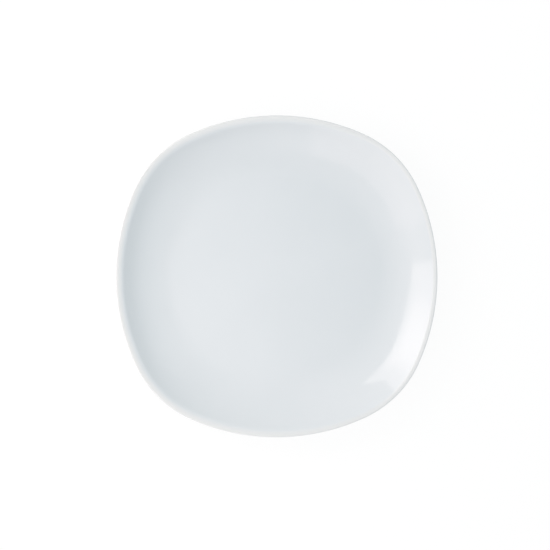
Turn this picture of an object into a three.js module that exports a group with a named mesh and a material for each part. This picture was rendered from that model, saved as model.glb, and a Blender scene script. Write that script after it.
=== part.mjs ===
// A rounded-square plate in glazed porcelain: one fired body with its foot ring, and the glaze fused to it.
// Millimetres, +Z up. The origin is the centre of the foot ring, on the table.

import * as THREE from "three";

// Driving dimensions of the whole plate, measured over the glaze
const PLATE_WIDTH = 210; // side to side across the lip
const PLATE_HEIGHT = 22; // table to the crown of the lip

// Driving dimensions of the lip's outline, seen from above
const SIDE_RADIUS = 138; // bow of each of the four sides
const CORNER_RADIUS = 71; // round of each of the four corners

// Driving dimensions of the section through the middle of a side
const WALL_THICKNESS = 3.2; // sloping wall
const FLOOR_THICKNESS = 4.5; // flat floor inside the foot ring
const RIM_SLOPE = THREE.MathUtils.degToRad(43); // steepness of the wall where it meets the lip
const LIP_EDGE = 0.7; // tight round at the lip's outer edge

// Driving dimensions of the foot ring
const FOOT_HEIGHT = 3; // table to the underside of the floor
const FOOT_WIDTH = 3.6; // standing face
const FOOT_INSET = 0.5; // from the edge of the flat floor in to the middle of the standing face
const FOOT_DRAFT = THREE.MathUtils.degToRad(25); // lean of the ring's flanks off the vertical
const FOOT_EDGE = 0.6; // rounding beside the standing face
const FOOT_FILLET = 1.6; // hollow fillet where the ring grows out of the underside

// Driving dimensions of the glaze
const GLAZE_THICKNESS = 0.3;
const GLAZE_CLEARANCE = 0.02; // keeps the coat's inner skin off the body's skin
const BARE_HEIGHT = 0.9; // unglazed band on the ring's flanks, above the table

// Colours and finish
const GLAZE_COLOUR = 0xe1e5e8; // cool white
const GLAZE_ROUGHNESS = 0.08;
const PORCELAIN_COLOUR = 0xe8e6e1; // warm white
const PORCELAIN_ROUGHNESS = 0.75;

// Fineness of the mesh
const TURN_STEPS = 64; // around the plate
const WALL_STEPS = 6; // up each face of the wall
const LIP_STEPS = 5; // over the broad inner round of the lip
const EDGE_STEPS = 2; // from the crown of the lip out to its edge, and from there back under
const FILLET_STEPS = 3; // along a fillet or a rounded edge
const FILLET_ROOM = 0.8; // the most of a flank that a fillet or a rounded edge may take up
const SAME_POINT = 1e-6;

// Places that follow from the dimensions, as (radius, height) in the section through the middle of a side
const floorTop = FOOT_HEIGHT + FLOOR_THICKNESS;
const levelling = 1 - Math.cos(RIM_SLOPE); // rise of an arc of unit radius as it turns by the slope
const lipRound = (WALL_THICKNESS - LIP_EDGE * (2 - levelling)) / levelling; // broad inner round of the lip
const lipCentre = new THREE.Vector2(PLATE_WIDTH / 2 - LIP_EDGE, PLATE_HEIGHT - lipRound);
const edgeCentre = new THREE.Vector2(PLATE_WIDTH / 2 - LIP_EDGE, PLATE_HEIGHT - LIP_EDGE);
const wallTop = new THREE.Vector2(-Math.sin(RIM_SLOPE), Math.cos(RIM_SLOPE))
  .multiplyScalar(lipRound)
  .add(lipCentre);
const wallRadius = (wallTop.y - floorTop) / levelling;
const floorRadius = wallTop.x - wallRadius * Math.sin(RIM_SLOPE);
const wallCentre = new THREE.Vector2(floorRadius, floorTop + wallRadius);
const footRadius = floorRadius - FOOT_INSET;
const bodyDepth = GLAZE_THICKNESS + GLAZE_CLEARANCE; // from the glazed surface in to the body's skin

// Directions in the section, from the centre of an arc
const UPWARDS = Math.PI / 2;
const OUTWARDS = 0;
const WALL_FOOT = -Math.PI / 2; // where the wall's arcs start
const WALL_END = WALL_FOOT + RIM_SLOPE; // where they end

const OUTER_FLANK = 1;
const INNER_FLANK = -1;

// Points of an arc in the section, from one direction to another.
function arc(centre, radius, from, to, steps) {
  return new THREE.ArcCurve(centre.x, centre.y, radius, from, to, to < from).getPoints(steps);
}

// Points of a rounded corner in the section.
function rounded(start, corner, end) {
  return new THREE.QuadraticBezierCurve(start, corner, end).getPoints(FILLET_STEPS);
}

// One flank of the foot ring, which leans away from the standing face as it rises.
// Depth is measured in from the glazed surface.
function flankOf(side, depth) {
  const rise = new THREE.Vector2(side * Math.sin(FOOT_DRAFT), Math.cos(FOOT_DRAFT));
  const outwards = new THREE.Vector2(side * Math.cos(FOOT_DRAFT), -Math.sin(FOOT_DRAFT));
  const toe = new THREE.Vector2(footRadius + (side * FOOT_WIDTH) / 2, 0);
  toe.addScaledVector(outwards, bodyDepth - depth);
  return {
    toe,
    rise,
    at: (distance) => toe.clone().addScaledVector(rise, distance),
    reach: (height) => (height - toe.y) / rise.y,
  };
}

// The fillet at the top of a flank, shortened if it would run past the glaze's edge.
function filletAt(flank, top) {
  return Math.min(FOOT_FILLET, FILLET_ROOM * (top - flank.reach(BARE_HEIGHT)));
}

// From the middle of the floor over the lip and down the underside to the glaze's edge on the outer flank.
function outerSkin(depth) {
  const undersideRadius = wallRadius + WALL_THICKNESS - depth;
  const flank = flankOf(OUTER_FLANK, depth);
  const fromCentre = flank.toe.clone().sub(wallCentre);
  const along = fromCentre.dot(flank.rise);
  const top = -along - Math.sqrt(along ** 2 - fromCentre.lengthSq() + undersideRadius ** 2);
  const corner = flank.at(top);
  const fillet = filletAt(flank, top);
  const cornerDirection = Math.atan2(corner.y - wallCentre.y, corner.x - wallCentre.x);
  const filletStart = cornerDirection + fillet / undersideRadius;
  const underside = arc(wallCentre, undersideRadius, WALL_END, filletStart, WALL_STEPS);

  return [
    new THREE.Vector2(0, floorTop - depth),
    ...arc(wallCentre, wallRadius + depth, WALL_FOOT, WALL_END, WALL_STEPS),
    ...arc(lipCentre, lipRound - depth, WALL_END + Math.PI, UPWARDS, LIP_STEPS),
    ...arc(edgeCentre, LIP_EDGE - depth, UPWARDS, OUTWARDS, EDGE_STEPS),
    ...arc(edgeCentre, LIP_EDGE - depth, OUTWARDS, WALL_END, EDGE_STEPS),
    ...underside,
    ...rounded(underside.at(-1), corner, flank.at(top - fillet)),
    flank.at(flank.reach(BARE_HEIGHT)),
  ];
}

// From the middle of the underside, inside the foot ring, out to the glaze's edge on the inner flank.
function footWellSkin(depth) {
  const ceiling = FOOT_HEIGHT + depth;
  const flank = flankOf(INNER_FLANK, depth);
  const top = flank.reach(ceiling);
  const corner = flank.at(top);
  const fillet = filletAt(flank, top);

  return [
    new THREE.Vector2(0, ceiling),
    ...rounded(new THREE.Vector2(corner.x - fillet, ceiling), corner, flank.at(top - fillet)),
    flank.at(flank.reach(BARE_HEIGHT)),
  ];
}

// The bare toe of the foot ring, from the outer glaze's edge round the standing face to the inner one.
function bareFoot() {
  const outer = flankOf(OUTER_FLANK, bodyDepth);
  const inner = flankOf(INNER_FLANK, bodyDepth);
  const edge = Math.min(FOOT_EDGE, FILLET_ROOM * outer.reach(BARE_HEIGHT));

  return [
    ...rounded(outer.at(edge), outer.toe, new THREE.Vector2(outer.toe.x - edge, 0)),
    ...rounded(new THREE.Vector2(inner.toe.x + edge, 0), inner.toe, inner.at(edge)),
  ];
}

// Distance from the middle to the lip's outline: to a bowed side, or to the corner arc tangent to it.
function outlineRadius(direction) {
  const sideBack = SIDE_RADIUS - PLATE_WIDTH / 2; // a side's arc is centred this far behind the middle
  const sideAcross = sideBack * Math.SQRT1_2;
  const cornerOut = Math.sqrt((SIDE_RADIUS - CORNER_RADIUS) ** 2 - sideAcross ** 2) - sideAcross;
  const cornerAcross = cornerOut * Math.SQRT1_2;
  const bend = Math.atan2(cornerAcross, cornerAcross + sideBack);
  const tangent = Math.atan2(SIDE_RADIUS * Math.sin(bend), SIDE_RADIUS * Math.cos(bend) - sideBack);

  const quarter = Math.PI / 2;
  const offSide = Math.abs(direction - quarter * Math.round(direction / quarter));
  const onSide = offSide <= tangent;
  const radius = onSide ? SIDE_RADIUS : CORNER_RADIUS;
  const centreOut = onSide ? -sideBack : cornerOut;
  const turn = onSide ? offSide : quarter / 2 - offSide;
  return centreOut * Math.cos(turn) + Math.sqrt(radius ** 2 - (centreOut * Math.sin(turn)) ** 2);
}

// The floor stays round, and the wall eases out from it to the rounded-square outline of the lip.
function squareOff(geometry) {
  const places = geometry.attributes.position;
  for (let i = 0; i < places.count; i++) {
    const radius = Math.hypot(places.getX(i), places.getY(i));
    const ease = THREE.MathUtils.smoothstep(radius, floorRadius, PLATE_WIDTH / 2);
    if (ease > 0) {
      const direction = Math.atan2(places.getY(i), places.getX(i));
      const stretch = 1 + (ease * (outlineRadius(direction) - PLATE_WIDTH / 2)) / radius;
      places.setXY(i, places.getX(i) * stretch, places.getY(i) * stretch);
    }
  }
}

// Cuts each four-sided facet along its shorter diagonal, so that neighbouring skins are cut alike.
function splitFacets(geometry) {
  const places = geometry.attributes.position;
  const place = (i) => new THREE.Vector3().fromBufferAttribute(places, i);
  const index = geometry.index.array;
  const facetSize = 6; // two triangles, a b d and c d b
  for (let i = 0; i < index.length; i += facetSize) {
    const [a, b, d, c] = index.slice(i, i + facetSize);
    if (place(a).distanceToSquared(place(c)) < place(b).distanceToSquared(place(d))) {
      index.set([a, b, c, a, c, d], i);
    }
  }
}

// A section turned about the axis and squared off. The section runs outwards above, then back below.
function turned(section) {
  const isNew = (point, i) => i === 0 || point.distanceTo(section[i - 1]) > SAME_POINT;
  const distinct = section.filter(isNew);
  const geometry = new THREE.LatheGeometry(distinct.reverse(), TURN_STEPS);
  geometry.rotateX(Math.PI / 2);
  squareOff(geometry);
  splitFacets(geometry);
  geometry.computeVertexNormals();
  return geometry;
}

// A turned piece in a material of its own.
function piece(section, color, roughness) {
  const finish = new THREE.MeshStandardMaterial({ color, roughness, metalness: 0 });
  return new THREE.Mesh(turned(section), finish);
}

// Vitrified porcelain, pressed and fired in one piece with its foot ring.
function porcelainBody() {
  const section = [
    ...outerSkin(bodyDepth),
    ...bareFoot(),
    ...footWellSkin(bodyDepth).reverse(),
  ];
  return piece(section, PORCELAIN_COLOUR, PORCELAIN_ROUGHNESS);
}

// The coat of glaze over the face, round the lip and down the underside to the foot ring.
function outerGlaze() {
  const section = [...outerSkin(0), ...outerSkin(GLAZE_THICKNESS).reverse()];
  return piece(section, GLAZE_COLOUR, GLAZE_ROUGHNESS);
}

// The coat of glaze on the underside within the foot ring, which the bare ring cuts off from the rest.
function footWellGlaze() {
  const section = [...footWellSkin(GLAZE_THICKNESS), ...footWellSkin(0).reverse()];
  return piece(section, GLAZE_COLOUR, GLAZE_ROUGHNESS);
}

const plate = new THREE.Group();
const pieces = {
  porcelain_body: porcelainBody(),
  outer_glaze: outerGlaze(),
  foot_well_glaze: footWellGlaze(),
};
for (const [name, mesh] of Object.entries(pieces)) {
  mesh.name = name;
  plate.add(mesh);
}

export default plate;
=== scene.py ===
import math

import bpy
from mathutils import Matrix, Vector, noise


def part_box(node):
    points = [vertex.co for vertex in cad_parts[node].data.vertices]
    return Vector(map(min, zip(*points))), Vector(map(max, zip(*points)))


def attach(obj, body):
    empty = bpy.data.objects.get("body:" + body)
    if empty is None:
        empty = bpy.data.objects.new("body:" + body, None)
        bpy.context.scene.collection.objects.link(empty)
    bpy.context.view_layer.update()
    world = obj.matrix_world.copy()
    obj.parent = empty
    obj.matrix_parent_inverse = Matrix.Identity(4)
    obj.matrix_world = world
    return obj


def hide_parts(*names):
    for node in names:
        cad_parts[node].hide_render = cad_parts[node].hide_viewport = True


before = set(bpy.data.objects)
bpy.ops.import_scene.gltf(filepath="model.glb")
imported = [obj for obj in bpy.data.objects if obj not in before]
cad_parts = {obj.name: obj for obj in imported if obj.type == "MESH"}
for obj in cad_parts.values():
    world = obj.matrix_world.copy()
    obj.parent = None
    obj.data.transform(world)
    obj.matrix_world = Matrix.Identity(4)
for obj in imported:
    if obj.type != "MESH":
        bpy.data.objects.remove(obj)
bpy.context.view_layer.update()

# Lengths are in metres. +Z is up, and the table lies at Z = 0.
MM = 0.001

# Sizes of the plate that the CAD model's boxes give
PLATE_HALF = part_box("outer_glaze")[1].x  # middle of the plate to the middle of a side
LIP_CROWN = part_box("outer_glaze")[1].z  # table to the crown of the lip
BARE_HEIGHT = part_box("foot_well_glaze")[0].z  # unglazed band on the foot ring, above the table

# Sizes of the plate that no box gives, as in the CAD model
SIDE_RADIUS = 138 * MM  # bow of each of the four sides
CORNER_RADIUS = 71 * MM  # round of each of the four corners
WALL_THICKNESS = 3.2 * MM
FLOOR_THICKNESS = 4.5 * MM
RIM_SLOPE = math.radians(43)  # steepness of the wall where it meets the lip
LIP_EDGE = 0.7 * MM  # tight round at the lip's outer edge
FOOT_HEIGHT = 3 * MM  # table to the underside of the floor
FOOT_WIDTH = 3.6 * MM  # of the ring at the table, before its edges are rounded
FOOT_INSET = 0.5 * MM  # edge of the flat floor in to the middle of the standing face
FOOT_DRAFT = math.radians(25)  # lean of the ring's flanks off the vertical
FOOT_EDGE = 0.6 * MM  # rounding beside the standing face
FOOT_FILLET = 1.6 * MM  # hollow fillet where the ring grows out of the underside
GLAZE_THICKNESS = 0.3 * MM
GLAZE_CLEARANCE = 0.02 * MM  # keeps a coat's inner skin off the body's skin

# The glaze's edge on the foot ring, which no two firings leave alike
WANDER = 0.3 * MM  # how far the edge strays up the flank from its lowest line
WANDER_WAVES = 9  # about how many times round the ring
OUTER_SEED = 3.7
INNER_SEED = 8.2

# The lip, which is rolled tighter on the side at the photograph's right, over a wall that ends less steep
TIGHT_SIDE = math.radians(-4)
TIGHT_SLOPE = math.radians(34.6)
TIGHT_FROM = 0.05  # cosine of the angle off that side at which the lip starts to tighten
TIGHT_TO = 0.65  # and at which it is as tight as it gets
ROUND_SIDE = TIGHT_SIDE + math.pi  # where the wall runs into the lip with no straight between them

# Fineness of the meshes
TURN_STEPS = 320  # around the plate
FLOOR_STEPS = 16
WALL_STEPS = 36
LIP_STEPS = 20
EDGE_STEPS = 6
FILLET_STEPS = 8
BEAD_STEPS = 6
SAME_POINT = 1e-7  # distance within which two points are one
SHARP_EDGE = math.radians(50)  # bend past which an edge isn't shaded smooth

# Lengths that follow from the sizes, and places (radius, height) in the section through the middle of a side
LEVELLING = 1 - math.cos(RIM_SLOPE)  # rise of an arc of unit radius as it turns by the slope
LIP_ROUND = (WALL_THICKNESS - LIP_EDGE * (2 - LEVELLING)) / LEVELLING  # broad inner round of the lip
FLOOR_TOP = FOOT_HEIGHT + FLOOR_THICKNESS
LIP_CENTRE = Vector((PLATE_HALF - LIP_EDGE, LIP_CROWN - LIP_ROUND))
EDGE_CENTRE = Vector((PLATE_HALF - LIP_EDGE, LIP_CROWN - LIP_EDGE))
WALL_TOP = LIP_CENTRE + LIP_ROUND * Vector((-math.sin(RIM_SLOPE), math.cos(RIM_SLOPE)))
WALL_RADIUS = (WALL_TOP.y - FLOOR_TOP) / LEVELLING
FLOOR_RADIUS = WALL_TOP.x - WALL_RADIUS * math.sin(RIM_SLOPE)
WALL_CENTRE = Vector((FLOOR_RADIUS, FLOOR_TOP + WALL_RADIUS))
FOOT_RADIUS = FLOOR_RADIUS - FOOT_INSET
BODY_DEPTH = GLAZE_THICKNESS + GLAZE_CLEARANCE  # from the glazed surface in to the body's skin

# Directions in the section, from the centre of an arc
UPWARDS = math.pi / 2
OUTWARDS = 0
WALL_FOOT = -math.pi / 2  # where the wall's arcs start
WALL_END = WALL_FOOT + RIM_SLOPE  # where its underside ends, at the lip

OUTER_FLANK = 1
INNER_FLANK = -1


# Curves in the section

def line(start, end, steps):
    """Points along a straight line."""
    return [start.lerp(end, i / steps) for i in range(steps + 1)]


def arc(centre, radius, start, end, steps):
    """Points along an arc, between two directions from its centre."""
    turns = [start + (end - start) * i / steps for i in range(steps + 1)]
    return [centre + radius * Vector((math.cos(turn), math.sin(turn))) for turn in turns]


def rounded(start, corner, end, steps=FILLET_STEPS):
    """Points round a corner, tangent to both of its sides."""
    shares = [i / steps for i in range(steps + 1)]
    return [start.lerp(corner, share).lerp(corner.lerp(end, share), share) for share in shares]


def smooth_step(value, low, high):
    """Nought up to the low value and one from the high value on, with a smooth rise between them."""
    share = min(max((value - low) / (high - low), 0), 1)
    return share * share * (3 - 2 * share)


class Flank:
    """One flank of the foot ring, which leans away from the standing face as it rises."""

    def __init__(self, side, depth):
        outwards = Vector((side * math.cos(FOOT_DRAFT), -math.sin(FOOT_DRAFT)))
        self.rise = Vector((side * math.sin(FOOT_DRAFT), math.cos(FOOT_DRAFT)))
        self.toe = Vector((FOOT_RADIUS + side * FOOT_WIDTH / 2, 0)) + outwards * (BODY_DEPTH - depth)

    def at(self, distance):
        """The point that lies a distance up the flank from its toe."""
        return self.toe + self.rise * distance

    def reach(self, height):
        """The distance up the flank to a height above the table."""
        return (height - self.toe.y) / self.rise.y


# Skins of the plate, as points of the section. Depth is measured in from the glazed surface.

def rim_slope(direction):
    """Slope at which the wall runs into the lip."""
    share = smooth_step(math.cos(direction - TIGHT_SIDE), TIGHT_FROM, TIGHT_TO)
    return RIM_SLOPE + share * (TIGHT_SLOPE - RIM_SLOPE)


def lip_roll(slope):
    """Radius of the lip, which is tangent to the wall at the given slope and level at its crown."""
    square_to_wall = Vector((-math.sin(slope), math.cos(slope)))
    crown = Vector((LIP_CENTRE.x, LIP_CROWN))
    return ((WALL_CENTRE - crown).dot(square_to_wall) - WALL_RADIUS) / (1 - math.cos(slope))


def outer_skin(depth, edge, slope):
    """From the middle of the floor over the lip and down to the glaze's edge on the foot's outer flank."""
    roll = lip_roll(slope)
    roll_centre = Vector((LIP_CENTRE.x, LIP_CROWN - roll))
    underside_radius = WALL_RADIUS + WALL_THICKNESS - depth
    flank = Flank(OUTER_FLANK, depth)
    from_centre = flank.toe - WALL_CENTRE
    along = from_centre.dot(flank.rise)
    top = -along - math.sqrt(along**2 - from_centre.length_squared + underside_radius**2)
    corner = flank.at(top)
    corner_direction = math.atan2(corner.y - WALL_CENTRE.y, corner.x - WALL_CENTRE.x)
    fillet_start = corner_direction + FOOT_FILLET / underside_radius
    underside = arc(WALL_CENTRE, underside_radius, WALL_END, fillet_start, WALL_STEPS)
    floor = line(Vector((0, FLOOR_TOP - depth)), Vector((FLOOR_RADIUS, FLOOR_TOP - depth)), FLOOR_STEPS)
    return [
        *floor,
        *arc(WALL_CENTRE, WALL_RADIUS + depth, WALL_FOOT, WALL_FOOT + slope, WALL_STEPS),
        *arc(roll_centre, roll - depth, UPWARDS + slope, UPWARDS, LIP_STEPS),
        *arc(EDGE_CENTRE, LIP_EDGE - depth, UPWARDS, OUTWARDS, EDGE_STEPS),
        *arc(EDGE_CENTRE, LIP_EDGE - depth, OUTWARDS, WALL_END, EDGE_STEPS),
        *underside,
        *rounded(underside[-1], corner, flank.at(top - FOOT_FILLET)),
        flank.at(flank.reach(edge)),
    ]


def foot_well_skin(depth, edge):
    """From the middle of the underside, inside the foot ring, to the glaze's edge on the inner flank."""
    ceiling = FOOT_HEIGHT + depth
    flank = Flank(INNER_FLANK, depth)
    top = flank.reach(ceiling)
    corner = flank.at(top)
    fillet_start = Vector((corner.x - FOOT_FILLET, ceiling))
    return [
        *line(Vector((0, ceiling)), fillet_start, FLOOR_STEPS),
        *rounded(fillet_start, corner, flank.at(top - FOOT_FILLET)),
        flank.at(flank.reach(edge)),
    ]


def bare_foot():
    """The bare toe of the foot ring, from the outer flank round the standing face to the inner flank."""
    outer = Flank(OUTER_FLANK, BODY_DEPTH)
    inner = Flank(INNER_FLANK, BODY_DEPTH)
    return [
        *rounded(outer.at(FOOT_EDGE), outer.toe, outer.toe - Vector((FOOT_EDGE, 0))),
        *rounded(inner.toe + Vector((FOOT_EDGE, 0)), inner.toe, inner.at(FOOT_EDGE)),
    ]


def bead(start, end, side):
    """The glaze's rounded edge on a flank, from one of its skins to the other."""
    downwards = -Flank(side, 0).rise
    return rounded(start, (start + end) / 2 + downwards * GLAZE_THICKNESS, end, BEAD_STEPS)


def glaze_edge(direction, seed):
    """Height of the glaze's edge above the table, which strays as it goes round."""
    turns = WANDER_WAVES / (2 * math.pi)
    stray = noise.noise(Vector((turns * math.cos(direction), turns * math.sin(direction), seed)))
    return BARE_HEIGHT + WANDER * (1 + stray) / 2


# The section of each piece, in one direction from the middle

def glaze_coat_section(direction):
    """The coat over the face, round the lip and down the underside to the foot ring."""
    edge = glaze_edge(direction, OUTER_SEED)
    slope = rim_slope(direction)
    face = outer_skin(0, edge, slope)
    back = outer_skin(GLAZE_THICKNESS, edge, slope)
    return [*face, *bead(face[-1], back[-1], OUTER_FLANK), *reversed(back)]


def foot_well_coat_section(direction):
    """The coat on the underside within the foot ring."""
    edge = glaze_edge(direction, INNER_SEED)
    face = foot_well_skin(0, edge)
    back = foot_well_skin(GLAZE_THICKNESS, edge)
    return [*back, *bead(back[-1], face[-1], INNER_FLANK), *reversed(face)]


def fired_body_section(direction):
    """The porcelain under both coats, with its bare foot."""
    outer = outer_skin(BODY_DEPTH, BARE_HEIGHT, rim_slope(direction))
    inner = foot_well_skin(BODY_DEPTH, BARE_HEIGHT)
    return [*outer, *bare_foot(), *reversed(inner)]


# The outline

def outline_radius(direction):
    """Distance from the middle to the lip's outline: to a bowed side, or to the corner arc tangent to it."""
    diagonal_share = math.sqrt(1 / 2)  # how much of a length along a diagonal lies along X, or along Y
    side_back = SIDE_RADIUS - PLATE_HALF  # a side's arc is centred this far behind the middle
    side_across = side_back * diagonal_share
    corner_out = math.sqrt((SIDE_RADIUS - CORNER_RADIUS) ** 2 - side_across**2) - side_across
    corner_across = corner_out * diagonal_share
    bend = math.atan2(corner_across, corner_across + side_back)
    tangent = math.atan2(SIDE_RADIUS * math.sin(bend), SIDE_RADIUS * math.cos(bend) - side_back)

    quarter = math.pi / 2
    off_side = abs(direction - quarter * round(direction / quarter))
    on_side = off_side <= tangent
    radius = SIDE_RADIUS if on_side else CORNER_RADIUS
    centre_out = -side_back if on_side else corner_out
    turn = off_side if on_side else quarter / 2 - off_side
    return centre_out * math.cos(turn) + math.sqrt(radius**2 - (centre_out * math.sin(turn)) ** 2)


def squared(point, direction, stretch):
    """A point of the section in its direction: the floor is round, and the lip is a rounded square."""
    radius = point.x + stretch * smooth_step(point.x, FLOOR_RADIUS, PLATE_HALF)
    return Vector((radius * math.cos(direction), radius * math.sin(direction), point.y))


# The meshes

def distinct(section):
    """Which points of a section stay, once the repeats where two curves join are dropped."""
    gaps = [(point - before).length for before, point in zip(section, section[1:])]
    return [0] + [i + 1 for i, gap in enumerate(gaps) if gap > SAME_POINT]


def turned(name, section_in):
    """A closed mesh whose section starts and ends on the axis, running outwards above and back below."""
    kept = distinct(section_in(ROUND_SIDE))
    columns = []
    for i in range(TURN_STEPS):
        direction = 2 * math.pi * i / TURN_STEPS
        stretch = outline_radius(direction) - PLATE_HALF
        section = section_in(direction)
        columns.append([squared(section[k], direction, stretch) for k in kept])

    # All columns share the two points on the axis, and the points between them make rings
    rings = len(kept) - 2
    points = [column[k] for column in columns for k in range(1, rings + 1)]
    top = len(points)
    bottom = top + 1
    points += [columns[0][0], columns[0][-1]]
    faces = []
    for i in range(TURN_STEPS):
        here = i * rings
        beside = (i + 1) % TURN_STEPS * rings
        faces.append((top, here, beside))
        faces.append((bottom, beside + rings - 1, here + rings - 1))
        for k in range(rings - 1):
            faces.append((here + k, here + k + 1, beside + k + 1, beside + k))

    mesh = bpy.data.meshes.new(name)
    mesh.from_pydata(points, [], faces)
    mesh.shade_smooth()
    mesh.set_sharp_from_angle(angle=SHARP_EDGE)
    piece = bpy.data.objects.new(name, mesh)
    bpy.context.scene.collection.objects.link(piece)
    return piece


def fit(piece, node, material):
    """Puts a piece in place of its CAD node."""
    piece.data.materials.append(material)
    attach(piece, "root")
    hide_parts(node)


# Shader nodes
NOISE_SPREAD = (0.35, 0.65)  # the part of its range in which most of a noise lies


def add_node(tree, kind, inputs, **settings):
    """A shader node with its settings. Each input is a plain value or another node's output."""
    made = tree.nodes.new("ShaderNode" + kind)
    for name, value in settings.items():
        setattr(made, name, value)
    for name, value in inputs.items():
        if isinstance(value, bpy.types.NodeSocket):
            tree.links.new(value, made.inputs[name])
        else:
            made.inputs[name].default_value = value
    return made


def part_of(tree, place, axis):
    """One of the three parts of a vector."""
    return add_node(tree, "SeparateXYZ", {"Vector": place}).outputs[axis]


def noise_at(tree, place, size, detail=2):
    """Cloudy noise from 0 to 1, whose blotches are about as large as the given size."""
    inputs = {"Vector": place, "Scale": 1 / size, "Detail": detail}
    return add_node(tree, "TexNoise", inputs).outputs["Fac"]


def ranged(tree, value, start, end, to_start, to_end):
    """A value carried from one range to another, and held at its ends."""
    inputs = {"Value": value, "From Min": start, "From Max": end, "To Min": to_start, "To Max": to_end}
    return add_node(tree, "MapRange", inputs).outputs["Result"]


def maths(tree, operation, first, second):
    """The result of an operation on two numbers."""
    return add_node(tree, "Math", {0: first, 1: second}, operation=operation).outputs["Value"]


def dot(tree, first, second):
    """The dot product of two vectors."""
    return add_node(tree, "VectorMath", {0: first, 1: second}, operation="DOT_PRODUCT").outputs["Value"]


def blended(tree, share, first, second):
    """A colour between two others."""
    inputs = {"Factor": share, "A": first, "B": second}
    return add_node(tree, "Mix", inputs, data_type="RGBA").outputs["Result"]


def bumped(tree, height, distance, under=None):
    """A normal for relief of the given height, laid over another one."""
    inputs = {"Height": height, "Distance": distance}
    if under:
        inputs["Normal"] = under
    return add_node(tree, "Bump", inputs).outputs["Normal"]


def start_material(name):
    """A new material, its node tree, its shader and the place on the object in metres."""
    material = bpy.data.materials.new(name)
    material.use_nodes = True
    tree = material.node_tree
    place = tree.nodes.new("ShaderNodeTexCoord").outputs["Object"]
    return material, tree, tree.nodes["Principled BSDF"], place


# Glaze: a cool white glass, thinner and whiter over the lip, with slight random cloudiness in the coat's
# depth, and painted shade that darkens the coat away from the lamps
# The coat's darkest colour, which the painted shade and the deep cloudy patches lead towards
GLAZE_DEEP_AND_SHADED = (0.712, 0.748, 0.774, 1)
GLAZE_EVEN = (0.783, 0.811, 0.834, 1)
GLAZE_THIN = (0.812, 0.812, 0.806, 1)
GLAZE_IOR = 1.5
THIN_FROM = LIP_CROWN - 0.9 * MM  # height from which the glaze has run off the lip
THIN_SHARE = 0.8  # how far the crown of the lip goes towards the thin colour
THIN_ROUGHNESS = 0.07  # added where the glaze is thin
PAINTED_SHADE_TURN = math.radians(52)  # from X to the side that the painted shade darkens, away from the lamps
PAINTED_SHADE_FROM = -90 * MM  # distance from the middle, towards that side, at which the painted shade starts
PAINTED_SHADE_TO = 90 * MM  # and at which it is as dark as it gets
CLOUD_SIZE = 45 * MM
CLOUD_DEPTH = 0.16  # how much of the coat's depth is cloudy
GLOSS_SIZE = 12 * MM
GLOSS = (0.05, 0.10)  # roughness of the glossiest and of the dullest patches
SWELL_SIZE = 24 * MM  # slow waves in the surface
SWELL_HEIGHT = 0.045 * MM
PEEL_SIZE = 1.6 * MM  # fine dimples, as on an orange's peel
PEEL_HEIGHT = 0.0012 * MM
SPECK_COLOUR = (0.42, 0.40, 0.36, 1)
SPECK_SPACING = 9 * MM  # size of the cells, of which a few hold a speck
SPECK_CHANCE = 0.06  # share of the cells that hold one
SPECK_RADIUS = 0.16 * MM


def lip_thinness(tree, place):
    """How thin the glaze is: nought below the lip, rising to its full share at the crown."""
    return ranged(tree, part_of(tree, place, "Z"), THIN_FROM, LIP_CROWN, 0, THIN_SHARE)


def painted_shade_and_clouds(tree, place):
    """Nought where the glaze lies even and unshaded, and one where it is darkest: painted shade that deepens
    steadily away from the lamps, plus random cloudy depth.
    """
    shade_axis = Vector((math.cos(PAINTED_SHADE_TURN), math.sin(PAINTED_SHADE_TURN), 0))
    # Painted shade: the coat darkens steadily across the plate, away from the lamps, as light falling off
    # would darken it
    painted_shade = ranged(tree, dot(tree, place, shade_axis), PAINTED_SHADE_FROM, PAINTED_SHADE_TO, 0, 1 - CLOUD_DEPTH)
    clouds = ranged(tree, noise_at(tree, place, CLOUD_SIZE), *NOISE_SPREAD, 0, CLOUD_DEPTH)
    return maths(tree, "ADD", painted_shade, clouds)


def speck_mask(tree, place):
    """Sparse pinpoint specks, each with a soft edge over the outer half of its radius."""
    cells = add_node(tree, "TexVoronoi", {"Vector": place, "Scale": 1 / SPECK_SPACING})
    draw = add_node(tree, "SeparateColor", {"Color": cells.outputs["Color"]}).outputs["Red"]
    chosen = maths(tree, "LESS_THAN", draw, SPECK_CHANCE)
    radius = SPECK_RADIUS / SPECK_SPACING
    spot = ranged(tree, cells.outputs["Distance"], radius / 2, radius, 1, 0)
    return maths(tree, "MULTIPLY", chosen, spot)


def glaze_material():
    """The glaze of both coats."""
    material, tree, shader, place = start_material("glaze")
    thinness = lip_thinness(tree, place)
    # The coat's colour carries painted shade towards one side and random cloudy depth
    coat = blended(tree, painted_shade_and_clouds(tree, place), GLAZE_EVEN, GLAZE_DEEP_AND_SHADED)
    coat = blended(tree, thinness, coat, GLAZE_THIN)
    coat = blended(tree, speck_mask(tree, place), coat, SPECK_COLOUR)
    gloss = ranged(tree, noise_at(tree, place, GLOSS_SIZE), *NOISE_SPREAD, *GLOSS)
    roughness = maths(tree, "ADD", gloss, maths(tree, "MULTIPLY", thinness, THIN_ROUGHNESS))
    swell = bumped(tree, noise_at(tree, place, SWELL_SIZE, detail=0), SWELL_HEIGHT)
    peel = bumped(tree, noise_at(tree, place, PEEL_SIZE), PEEL_HEIGHT, swell)
    tree.links.new(coat, shader.inputs["Base Color"])
    tree.links.new(roughness, shader.inputs["Roughness"])
    tree.links.new(peel, shader.inputs["Normal"])
    shader.inputs["IOR"].default_value = GLAZE_IOR
    return material


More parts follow.
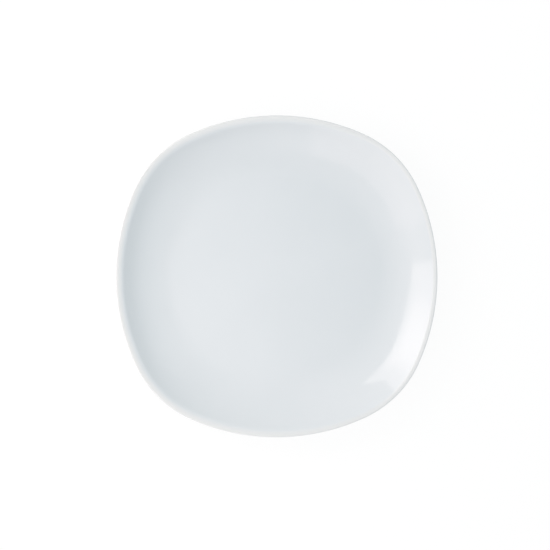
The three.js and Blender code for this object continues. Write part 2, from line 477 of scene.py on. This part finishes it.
# Bisque: bare porcelain, dull and finely grained, rubbed grey where it stands on tables
BISQUE_PALE = (0.815, 0.800, 0.765, 1)
BISQUE_DEEP = (0.740, 0.715, 0.665, 1)
BISQUE_ROUGHNESS = (0.62, 0.82)
BLOTCH_SIZE = 6 * MM
GRAIN_SIZE = 0.35 * MM
GRAIN_HEIGHT = 0.02 * MM
RUBBED_COLOUR = (0.56, 0.55, 0.53, 1)
RUBBED_TO = 0.12 * MM  # height up to which the standing face is rubbed
RUBBED_PATCH = 2.5 * MM
RUBBED_SHARE = 0.6  # how far the most rubbed places go towards their colour


def bisque_material():
    """The bare porcelain of the body."""
    material, tree, shader, place = start_material("bisque")
    low = ranged(tree, part_of(tree, place, "Z"), 0, RUBBED_TO, RUBBED_SHARE, 0)
    patches = ranged(tree, noise_at(tree, place, RUBBED_PATCH), *NOISE_SPREAD, 0, 1)
    rubbed = maths(tree, "MULTIPLY", low, patches)
    blotches = ranged(tree, noise_at(tree, place, BLOTCH_SIZE), *NOISE_SPREAD, 0, 1)
    grain = noise_at(tree, place, GRAIN_SIZE)
    clay = blended(tree, blotches, BISQUE_DEEP, BISQUE_PALE)
    tree.links.new(blended(tree, rubbed, clay, RUBBED_COLOUR), shader.inputs["Base Color"])
    tree.links.new(ranged(tree, grain, *NOISE_SPREAD, *BISQUE_ROUGHNESS), shader.inputs["Roughness"])
    tree.links.new(bumped(tree, grain, GRAIN_HEIGHT), shader.inputs["Normal"])
    return material


# The pieces
glaze = glaze_material()
bisque = bisque_material()
fit(turned("glaze_coat", glaze_coat_section), "outer_glaze", glaze)
fit(turned("foot_well_coat", foot_well_coat_section), "foot_well_glaze", glaze)
fit(turned("fired_body", fired_body_section), "porcelain_body", bisque)

# The floor, a round sheet with a hole inside the foot ring, so that light reaches the underside
FLOOR_EDGE = 4  # radius of the sheet
FLOOR_HOLE = FOOT_RADIUS + FOOT_WIDTH / 2 - FOOT_EDGE  # radius of the hole, whose edge hides under the ring
FLOOR_COLOUR = (0.92, 0.92, 0.92, 1)
FLOOR_GLOW = 1.02  # makes up for the floor's own shading, so that it is white away from the shadow
SHADOW_SHARE = 0.1  # how much of the floor's own shading the camera sees
WHITE = (1, 1, 1, 1)


def seen_directly(tree):
    """One for camera, glossy and transmission rays, and nought for the rays that light the object."""
    path = tree.nodes.new("ShaderNodeLightPath").outputs
    seen = maths(tree, "MAXIMUM", path["Is Camera Ray"], path["Is Glossy Ray"])
    return maths(tree, "MAXIMUM", seen, path["Is Transmission Ray"])


def floor_material():
    """White to the camera and in reflections, but for the shadow, and not there when seen from below."""
    material = bpy.data.materials.new("floor")
    material.use_nodes = True
    tree = material.node_tree
    tree.nodes.clear()
    shaded = add_node(tree, "BsdfDiffuse", {"Color": FLOOR_COLOUR}).outputs["BSDF"]
    white = add_node(tree, "Emission", {"Color": WHITE, "Strength": FLOOR_GLOW}).outputs["Emission"]
    share = maths(tree, "MULTIPLY", seen_directly(tree), 1 - SHADOW_SHARE)
    above = add_node(tree, "MixShader", {"Fac": share, 1: shaded, 2: white}).outputs["Shader"]
    clear = add_node(tree, "BsdfTransparent", {}).outputs["BSDF"]
    back = tree.nodes.new("ShaderNodeNewGeometry").outputs["Backfacing"]
    sheet = add_node(tree, "MixShader", {"Fac": back, 1: above, 2: clear}).outputs["Shader"]
    add_node(tree, "OutputMaterial", {"Surface": sheet})
    return material


def add_floor():
    """A flat ring on the table, from the hole out to the floor's edge."""
    points = []
    faces = []
    for i in range(TURN_STEPS):
        direction = 2 * math.pi * i / TURN_STEPS
        outwards = Vector((math.cos(direction), math.sin(direction), 0))
        points += [outwards * FLOOR_HOLE, outwards * FLOOR_EDGE]
        here = 2 * i
        beside = 2 * ((i + 1) % TURN_STEPS)
        faces.append((here, here + 1, beside + 1, beside))
    mesh = bpy.data.meshes.new("floor")
    mesh.from_pydata(points, [], faces)
    mesh.materials.append(floor_material())
    floor = bpy.data.objects.new("floor", mesh)
    bpy.context.scene.collection.objects.link(floor)


add_floor()

# The room's light
ZENITH_LIGHT = (0.698, 0.755, 0.775, 1)
HORIZON_LIGHT = (0.586, 0.622, 0.615, 1)
HORIZON_FALL = 2  # how fast the light changes from the horizon to the zenith

# The softbox at the left, which shows in the wall at the right
SOFTBOX_PLACE = Vector((-0.552, 0.186, 0.397))
SOFTBOX_AIM = Vector((0.028, -0.009, 0.052))
SOFTBOX_ROLL = math.radians(9)
SOFTBOX_SIZE = (0.47, 0.84)
SOFTBOX_COLOUR = (1.146, 1, 0.948)
SOFTBOX_WATTS = 2.13
CORE_SIZE = (0.26, 0.85)  # of the glow that the softbox's tube makes on its cloth
CORE_LEAN = math.radians(14)
CORE_GLOW = 1  # how much brighter the cloth is there
CARD_LEAN = math.radians(-38)  # of the card that shades the softbox's upper corner
CARD_EDGE = (0.205, 0.245)  # where the card's soft edge starts and ends, from the softbox's middle

# The panel at the front left
PANEL_PLACE = Vector((-0.332, -0.318, 0.53))
PANEL_AIM = Vector((-0.016, 0.112, 0.59))
PANEL_SIZE = (0.57, 0.95)
PANEL_COLOUR = (1.27, 1, 0.957)
PANEL_WATTS = 1
SHEEN_WATTS = 0.42  # of the panel's brighter look in reflections

# What the right and the front of the room throw back
BOUNCE_COLOUR = (1, 1, 1)
RIGHT_BOUNCE_PLACE = Vector((0.47, 0, 0.647))
RIGHT_BOUNCE_SIZE = (0.8, 0.8)
RIGHT_BOUNCE_WATTS = 1.5
FRONT_BOUNCE_PLACE = Vector((0, -0.613, 0.514))
FRONT_BOUNCE_SIZE = (0.7, 0.9)
FRONT_BOUNCE_WATTS = 1


def add_world():
    """A white room to the camera and in reflections. Its light is cool, and weaker near the horizon."""
    world = bpy.data.worlds.new("studio")
    bpy.context.scene.world = world
    world.use_nodes = True
    tree = world.node_tree
    direction = tree.nodes.new("ShaderNodeTexCoord").outputs["Generated"]
    low = maths(tree, "POWER", ranged(tree, part_of(tree, direction, "Z"), 0, 1, 1, 0), HORIZON_FALL)
    light = blended(tree, low, ZENITH_LIGHT, HORIZON_LIGHT)
    shown = blended(tree, seen_directly(tree), light, WHITE)
    tree.links.new(shown, tree.nodes["Background"].inputs["Color"])


def add_lamp(name, place, aim, size, colour, watts, roll=0):
    """A rectangular lamp that faces the point it is aimed at."""
    lamp = bpy.data.lights.new(name, "AREA")
    lamp.shape = "RECTANGLE"
    lamp.size, lamp.size_y = size
    lamp.energy = watts
    lamp.color = colour
    stand = bpy.data.objects.new(name, lamp)
    bpy.context.scene.collection.objects.link(stand)
    stand.location = place
    stand.rotation_euler = (aim - place).to_track_quat("-Z", "Y").to_euler()
    stand.rotation_euler.rotate_axis("Z", roll)
    stand.visible_camera = False
    return stand


def distance_along(tree, stand, turn, axis):
    """How far a point of a lamp lies from its middle, along one of its axes turned in its plane."""
    axes = stand.rotation_euler.to_matrix() @ Matrix.Rotation(turn, 3, "Z")
    place = tree.nodes.new("ShaderNodeNewGeometry").outputs["Position"]
    inputs = {0: place, 1: stand.location}
    offset = add_node(tree, "VectorMath", inputs, operation="SUBTRACT").outputs["Vector"]
    return dot(tree, offset, axes.col[axis])


def fading(tree, stand, turn, size, middle):
    """A strength that falls from the middle of a lamp to nought at the edge of an ellipse."""
    squares = []
    for axis, length in enumerate(size):
        share = maths(tree, "DIVIDE", distance_along(tree, stand, turn, axis), length / 2)
        squares.append(maths(tree, "MULTIPLY", share, share))
    return ranged(tree, maths(tree, "ADD", *squares), 0, 1, middle, 0)


def add_bounce(name, place, size, watts):
    """Light that the room throws back, which fades outwards and is seen in reflections alone."""
    stand = add_lamp(name, place, Vector(), size, BOUNCE_COLOUR, watts)
    stand.visible_diffuse = False
    stand.data.use_nodes = True
    tree = stand.data.node_tree
    tree.links.new(fading(tree, stand, 0, size, 1), tree.nodes["Emission"].inputs["Strength"])


def shape_glow(stand):
    """Brightens a streak of a lamp's cloth, where the tube stands, and shades its top with a slanted card."""
    stand.data.use_nodes = True
    tree = stand.data.node_tree
    core = fading(tree, stand, CORE_LEAN, CORE_SIZE, CORE_GLOW)
    open_share = ranged(tree, distance_along(tree, stand, CARD_LEAN, 1), *CARD_EDGE, 1, 0)
    strength = maths(tree, "MULTIPLY", maths(tree, "ADD", core, 1), open_share)
    tree.links.new(strength, tree.nodes["Emission"].inputs["Strength"])


add_world()
softbox = add_lamp(
    "softbox", SOFTBOX_PLACE, SOFTBOX_AIM, SOFTBOX_SIZE, SOFTBOX_COLOUR, SOFTBOX_WATTS, SOFTBOX_ROLL
)
shape_glow(softbox)
add_lamp("side_panel", PANEL_PLACE, PANEL_AIM, PANEL_SIZE, PANEL_COLOUR, PANEL_WATTS)
sheen = add_lamp("panel_sheen", PANEL_PLACE, PANEL_AIM, PANEL_SIZE, PANEL_COLOUR, SHEEN_WATTS)
sheen.visible_diffuse = False
add_bounce("right_bounce", RIGHT_BOUNCE_PLACE, RIGHT_BOUNCE_SIZE, RIGHT_BOUNCE_WATTS)
add_bounce("front_bounce", FRONT_BOUNCE_PLACE, FRONT_BOUNCE_SIZE, FRONT_BOUNCE_WATTS)

# The camera, with the plate's place in the photograph in pixels
PHOTO_SIDE = 550
PLATE_PIXELS = 322.1  # across the plate
PLATE_RIGHT = 1.45  # how far the plate stands right of the photograph's middle
PLATE_DOWN = 1.35  # and below it
CAMERA_TURN = math.radians(-0.46)  # the plate stands slightly turned in the photograph
LENS = 100  # in millimetres, as Blender takes it
SENSOR = 36  # in millimetres too


def add_camera():
    """Looks straight down, from where the plate is as large as in the photograph."""
    pixel = 2 * PLATE_HALF / PLATE_PIXELS
    data = bpy.data.cameras.new("camera")
    data.lens = LENS
    data.sensor_width = SENSOR
    camera = bpy.data.objects.new("camera", data)
    bpy.context.scene.collection.objects.link(camera)
    distance = PHOTO_SIDE * pixel * LENS / SENSOR
    camera.location = (-PLATE_RIGHT * pixel, PLATE_DOWN * pixel, LIP_CROWN + distance)
    camera.rotation_euler.z = CAMERA_TURN
    bpy.context.scene.camera = camera


add_camera()
bpy.context.scene.view_settings.view_transform = "Standard"
